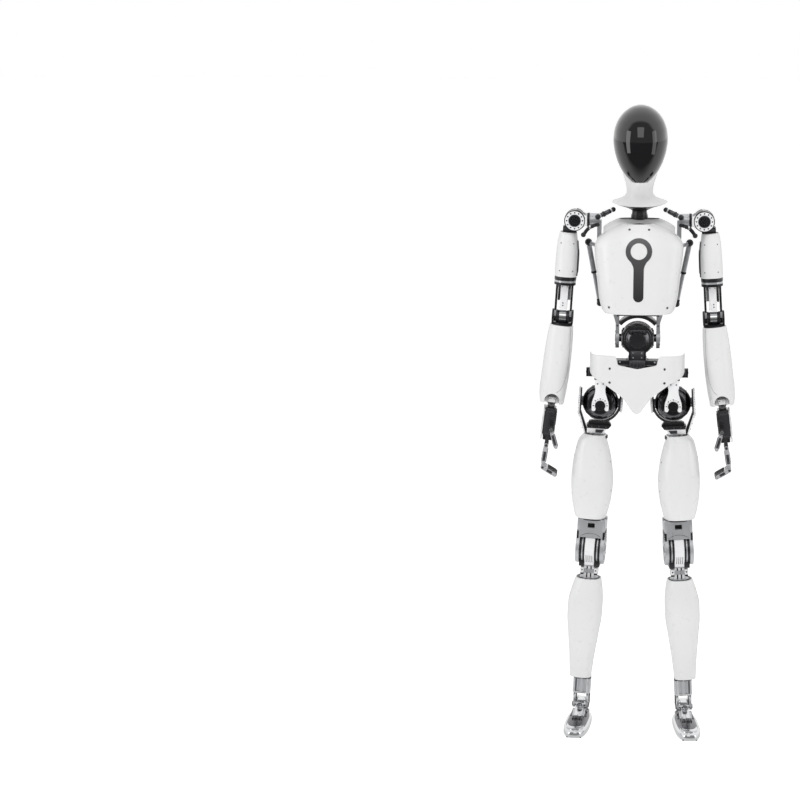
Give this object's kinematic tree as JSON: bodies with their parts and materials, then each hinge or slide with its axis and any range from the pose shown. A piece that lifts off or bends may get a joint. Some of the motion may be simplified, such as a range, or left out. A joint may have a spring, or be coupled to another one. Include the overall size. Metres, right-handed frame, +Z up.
{
  "type": "humanoid robot",
  "caption": "Full-size two-legged robot kit with egg-shaped black visor, white moulded covers, exposed metal joints, jointed hands and push-rod ankles.",
  "frame": {"origin": "centre of the bounding box at sole level", "axes": "+Z up, -Y the way the robot faces, +X its left side"},
  "size_m": [0.4974, 0.2484, 1.6],
  "materials": {
    "white_shell": "glossy moulded cover",
    "visor_black": "mirror-gloss black",
    "black_shell": "satin black",
    "dark_drive": "black anodised",
    "light_frame": "bead-blasted",
    "polished": "polished",
    "white_metal": "white powder coat",
    "dark_plastic": "fine matte",
    "steel_link": "dark steel"
  },
  "bodies": {
    "pelvis": {"pelvis_frame": "dark_drive", "pelvis_cover": "white_shell", "hip_brackets": "white_metal"},
    "waist_post": {"waist_post": "dark_drive"},
    "waist_drive": {"waist_drive": "dark_drive"},
    "torso": {"chest_frame": "light_frame", "chest_cover": "white_shell", "back_cover": "black_shell"},
    "neck": {"neck_pivot": "dark_drive"},
    "head": {"neck_post": "black_shell", "head_shell": "white_shell", "visor": "visor_black"},
    "shoulder_yoke_l": {"shoulder_yoke_l": "white_metal"},
    "shoulder_drive_l": {"shoulder_drive_l": "dark_drive"},
    "upper_arm_l": {"upper_arm_frame_l": "light_frame", "upper_arm_shell_l": "white_shell"},
    "forearm_l": {"forearm_frame_l": "dark_plastic", "forearm_shell_l": "white_shell"},
    "wrist_l": {"wrist_cross_l": "polished"},
    "palm_l": {"palm_l": "dark_plastic"},
    "thumb_base_l": {"thumb_base_l": "dark_plastic"},
    "thumb_tip_l": {"thumb_tip_l": "polished"},
    "index_proximal_l": {"index_proximal_l": "polished"},
    "index_distal_l": {"index_distal_l": "polished"},
    "fingers_proximal_l": {"fingers_proximal_l": "polished"},
    "fingers_distal_l": {"fingers_distal_l": "polished"},
    "hip_cage_l": {"hip_cage_l": "dark_drive"},
    "hip_yoke_l": {"hip_yoke_l": "light_frame"},
    "thigh_l": {"thigh_shell_l": "white_shell", "knee_fork_l": "light_frame"},
    "shin_l": {"shin_frame_l": "light_frame", "shin_shell_l": "white_shell"},
    "ankle_crank_l": {"ankle_crank_l": "steel_link"},
    "ankle_rods_l": {"ankle_rods_l": "black_shell"},
    "ankle_cross_l": {"ankle_cross_l": "polished"},
    "foot_l": {"foot_l": "polished"},
    "shoulder_yoke_r": {"shoulder_yoke_r": "white_metal"},
    "shoulder_drive_r": {"shoulder_drive_r": "dark_drive"},
    "upper_arm_r": {"upper_arm_frame_r": "light_frame", "upper_arm_shell_r": "white_shell"},
    "forearm_r": {"forearm_frame_r": "dark_plastic", "forearm_shell_r": "white_shell"},
    "wrist_r": {"wrist_cross_r": "polished"},
    "palm_r": {"palm_r": "dark_plastic"},
    "thumb_base_r": {"thumb_base_r": "dark_plastic"},
    "thumb_tip_r": {"thumb_tip_r": "polished"},
    "index_proximal_r": {"index_proximal_r": "polished"},
    "index_distal_r": {"index_distal_r": "polished"},
    "fingers_proximal_r": {"fingers_proximal_r": "polished"},
    "fingers_distal_r": {"fingers_distal_r": "polished"},
    "hip_cage_r": {"hip_cage_r": "dark_drive"},
    "hip_yoke_r": {"hip_yoke_r": "light_frame"},
    "thigh_r": {"thigh_shell_r": "white_shell", "knee_fork_r": "light_frame"},
    "shin_r": {"shin_frame_r": "light_frame", "shin_shell_r": "white_shell"},
    "ankle_crank_r": {"ankle_crank_r": "steel_link"},
    "ankle_rods_r": {"ankle_rods_r": "black_shell"},
    "ankle_cross_r": {"ankle_cross_r": "polished"},
    "foot_r": {"foot_r": "polished"}
  },
  "joints": [
    {"name": "waist_yaw", "type": "hinge", "parent": "pelvis", "child": "waist_post", "pos_m": [0, 0.041, 0.96], "axis": [0, 0, 1], "range_deg": [-40, 40]},
    {"name": "waist_roll", "type": "hinge", "parent": "waist_post", "child": "waist_drive", "pos_m": [0, 0.041, 1.01], "axis": [0, 1, 0], "range_deg": [-4, 4]},
    {"name": "waist_pitch", "type": "hinge", "parent": "waist_drive", "child": "torso", "pos_m": [0, 0.041, 1.01], "axis": [1, 0, 0], "range_deg": [-10, 35]},
    {"name": "neck_yaw", "type": "hinge", "parent": "torso", "child": "neck", "pos_m": [0, 0.041, 1.3], "axis": [0, 0, 1], "range_deg": [-50, 50]},
    {"name": "neck_pitch", "type": "hinge", "parent": "neck", "child": "head", "pos_m": [0, 0.041, 1.316], "axis": [1, 0, 0], "range_deg": [-15, 18]},
    {"name": "l_shoulder_pitch", "type": "hinge", "parent": "torso", "child": "shoulder_yoke_l", "pos_m": [0.1626, 0.051, 1.3087], "axis": [1, 0, 0], "range_deg": [-150, 40]},
    {"name": "l_shoulder_roll", "type": "hinge", "parent": "shoulder_yoke_l", "child": "shoulder_drive_l", "pos_m": [0.1626, 0.051, 1.3087], "axis": [0, 1, 0], "range_deg": [-100, 1.5]},
    {"name": "l_arm_yaw", "type": "hinge", "parent": "shoulder_drive_l", "child": "upper_arm_l", "pos_m": [0.1756, 0.051, 1.3087], "axis": [-0.0628, 0, 0.998], "range_deg": [-70, 70]},
    {"name": "l_elbow", "type": "hinge", "parent": "upper_arm_l", "child": "forearm_l", "pos_m": [0.19117, 0.051, 1.06119], "axis": [0.998, 0, 0.0628], "range_deg": [-95, 0]},
    {"name": "l_wrist_yaw", "type": "hinge", "parent": "forearm_l", "child": "wrist_l", "pos_m": [0.21657, 0.051, 0.84165], "axis": [-0.1149, 0, 0.9934], "range_deg": [-80, 80]},
    {"name": "l_wrist_flex", "type": "hinge", "parent": "wrist_l", "child": "palm_l", "pos_m": [0.21657, 0.051, 0.84165], "axis": [0, 1, 0], "range_deg": [-25, 7]},
    {"name": "l_thumb_swing", "type": "hinge", "parent": "palm_l", "child": "thumb_base_l", "pos_m": [0.21311, 0.019, 0.80199], "axis": [-0.1149, 0, 0.9934], "range_deg": [-46, 5]},
    {"name": "l_thumb_flex", "type": "hinge", "parent": "thumb_base_l", "child": "thumb_tip_l", "pos_m": [0.21633, 0.013, 0.77418], "axis": [0, 1, 0], "range_deg": [-10, 40]},
    {"name": "l_index_finger", "type": "hinge", "parent": "palm_l", "child": "index_proximal_l", "pos_m": [0.22945, 0.0315, 0.7304], "axis": [0, 1, 0], "range_deg": [-25, 20]},
    {"name": "l_index_tip", "type": "hinge", "parent": "index_proximal_l", "child": "index_distal_l", "pos_m": [0.23812, 0.0315, 0.67305], "axis": [0, 1, 0], "range_deg": [-37.5, 30]},
    {"name": "l_three_fingers", "type": "hinge", "parent": "palm_l", "child": "fingers_proximal_l", "pos_m": [0.22945, 0.0485, 0.7304], "axis": [0, 1, 0], "range_deg": [-25, 20]},
    {"name": "l_three_tips", "type": "hinge", "parent": "fingers_proximal_l", "child": "fingers_distal_l", "pos_m": [0.23812, 0.0485, 0.67305], "axis": [0, 1, 0], "range_deg": [-37.5, 30]},
    {"name": "r_shoulder_pitch", "type": "hinge", "parent": "torso", "child": "shoulder_yoke_r", "pos_m": [-0.1626, 0.051, 1.3087], "axis": [1, 0, 0], "range_deg": [-150, 40]},
    {"name": "r_shoulder_roll", "type": "hinge", "parent": "shoulder_yoke_r", "child": "shoulder_drive_r", "pos_m": [-0.1626, 0.051, 1.3087], "axis": [0, 1, 0], "range_deg": [-1.5, 100]},
    {"name": "r_arm_yaw", "type": "hinge", "parent": "shoulder_drive_r", "child": "upper_arm_r", "pos_m": [-0.1756, 0.051, 1.3087], "axis": [0.0628, 0, 0.998], "range_deg": [-70, 70]},
    {"name": "r_elbow", "type": "hinge", "parent": "upper_arm_r", "child": "forearm_r", "pos_m": [-0.19117, 0.051, 1.06119], "axis": [0.998, 0, -0.0628], "range_deg": [-95, 0]},
    {"name": "r_wrist_yaw", "type": "hinge", "parent": "forearm_r", "child": "wrist_r", "pos_m": [-0.21657, 0.051, 0.84165], "axis": [0.1149, 0, 0.9934], "range_deg": [-80, 80]},
    {"name": "r_wrist_flex", "type": "hinge", "parent": "wrist_r", "child": "palm_r", "pos_m": [-0.21657, 0.051, 0.84165], "axis": [0, -1, 0], "range_deg": [-25, 7]},
    {"name": "r_thumb_swing", "type": "hinge", "parent": "palm_r", "child": "thumb_base_r", "pos_m": [-0.21311, 0.019, 0.80199], "axis": [0.1149, 0, 0.9934], "range_deg": [-5, 46]},
    {"name": "r_thumb_flex", "type": "hinge", "parent": "thumb_base_r", "child": "thumb_tip_r", "pos_m": [-0.21633, 0.013, 0.77418], "axis": [0, -1, 0], "range_deg": [-10, 40]},
    {"name": "r_index_finger", "type": "hinge", "parent": "palm_r", "child": "index_proximal_r", "pos_m": [-0.22945, 0.0315, 0.7304], "axis": [0, -1, 0], "range_deg": [-25, 20]},
    {"name": "r_index_tip", "type": "hinge", "parent": "index_proximal_r", "child": "index_distal_r", "pos_m": [-0.23812, 0.0315, 0.67305], "axis": [0, -1, 0], "range_deg": [-37.5, 30]},
    {"name": "r_three_fingers", "type": "hinge", "parent": "palm_r", "child": "fingers_proximal_r", "pos_m": [-0.22945, 0.0485, 0.7304], "axis": [0, -1, 0], "range_deg": [-25, 20]},
    {"name": "r_three_tips", "type": "hinge", "parent": "fingers_proximal_r", "child": "fingers_distal_r", "pos_m": [-0.23812, 0.0485, 0.67305], "axis": [0, -1, 0], "range_deg": [-37.5, 30]},
    {"name": "l_hip_roll", "type": "hinge", "parent": "pelvis", "child": "hip_cage_l", "pos_m": [0.092, 0.041, 0.8439], "axis": [0, 1, 0], "range_deg": [-9, 10]},
    {"name": "l_hip_pitch", "type": "hinge", "parent": "hip_cage_l", "child": "hip_yoke_l", "pos_m": [0.092, 0.041, 0.8439], "axis": [0.9986, 0, 0.0523], "range_deg": [-45, 20]},
    {"name": "l_hip_yaw", "type": "hinge", "parent": "hip_yoke_l", "child": "thigh_l", "pos_m": [0.092, 0.041, 0.8439], "axis": [-0.0523, 0, 0.9986], "range_deg": [-25, 25]},
    {"name": "l_knee", "type": "hinge", "parent": "thigh_l", "child": "shin_l", "pos_m": [0.11194, 0.041, 0.46343], "axis": [0.9948, 0.0872, 0.0521], "range_deg": [0, 100]},
    {"name": "l_ankle_pitch", "type": "hinge", "parent": "shin_l", "child": "ankle_cross_l", "pos_m": [0.13387, 0.041, 0.045], "axis": [0.9948, 0.0872, 0.0521], "range_deg": [-20, 22]},
    {"name": "l_ankle_roll", "type": "hinge", "parent": "ankle_cross_l", "child": "foot_l", "pos_m": [0.13387, 0.041, 0.045], "axis": [-0.0872, 0.9962, 0], "range_deg": [-12, 12]},
    {"name": "l_ankle_crank", "type": "hinge", "parent": "shin_l", "child": "ankle_crank_l", "pos_m": [0.12283, 0.041, 0.25571], "axis": [0.9948, 0.0872, 0.0521], "range_deg": [-20, 22]},
    {"name": "l_ankle_rod", "type": "hinge", "parent": "ankle_crank_l", "child": "ankle_rods_l", "pos_m": [0.11987, 0.07487, 0.25556], "axis": [0.9948, 0.0872, 0.0521], "range_deg": [-22, 20]},
    {"name": "r_hip_roll", "type": "hinge", "parent": "pelvis", "child": "hip_cage_r", "pos_m": [-0.092, 0.041, 0.8439], "axis": [0, 1, 0], "range_deg": [-10, 9]},
    {"name": "r_hip_pitch", "type": "hinge", "parent": "hip_cage_r", "child": "hip_yoke_r", "pos_m": [-0.092, 0.041, 0.8439], "axis": [0.9986, 0, -0.0523], "range_deg": [-45, 20]},
    {"name": "r_hip_yaw", "type": "hinge", "parent": "hip_yoke_r", "child": "thigh_r", "pos_m": [-0.092, 0.041, 0.8439], "axis": [0.0523, 0, 0.9986], "range_deg": [-25, 25]},
    {"name": "r_knee", "type": "hinge", "parent": "thigh_r", "child": "shin_r", "pos_m": [-0.11194, 0.041, 0.46343], "axis": [0.9948, -0.0872, -0.0521], "range_deg": [0, 100]},
    {"name": "r_ankle_pitch", "type": "hinge", "parent": "shin_r", "child": "ankle_cross_r", "pos_m": [-0.13387, 0.041, 0.045], "axis": [0.9948, -0.0872, -0.0521], "range_deg": [-20, 22]},
    {"name": "r_ankle_roll", "type": "hinge", "parent": "ankle_cross_r", "child": "foot_r", "pos_m": [-0.13387, 0.041, 0.045], "axis": [0.0872, 0.9962, 0], "range_deg": [-12, 12]},
    {"name": "r_ankle_crank", "type": "hinge", "parent": "shin_r", "child": "ankle_crank_r", "pos_m": [-0.12283, 0.041, 0.25571], "axis": [0.9948, -0.0872, -0.0521], "range_deg": [-20, 22]},
    {"name": "r_ankle_rod", "type": "hinge", "parent": "ankle_crank_r", "child": "ankle_rods_r", "pos_m": [-0.11987, 0.07487, 0.25556], "axis": [0.9948, -0.0872, -0.0521], "range_deg": [-22, 20]}
  ],
  "couplings": [
    {"joint": "l_index_tip", "follows": "l_index_finger", "ratio": 1.5},
    {"joint": "l_three_tips", "follows": "l_three_fingers", "ratio": 1.5},
    {"joint": "r_index_tip", "follows": "r_index_finger", "ratio": 1.5},
    {"joint": "r_three_tips", "follows": "r_three_fingers", "ratio": 1.5},
    {"joint": "l_ankle_crank", "follows": "l_ankle_pitch", "ratio": 1},
    {"joint": "l_ankle_rod", "follows": "l_ankle_pitch", "ratio": -1},
    {"joint": "r_ankle_crank", "follows": "r_ankle_pitch", "ratio": 1},
    {"joint": "r_ankle_rod", "follows": "r_ankle_pitch", "ratio": -1}
  ]
}
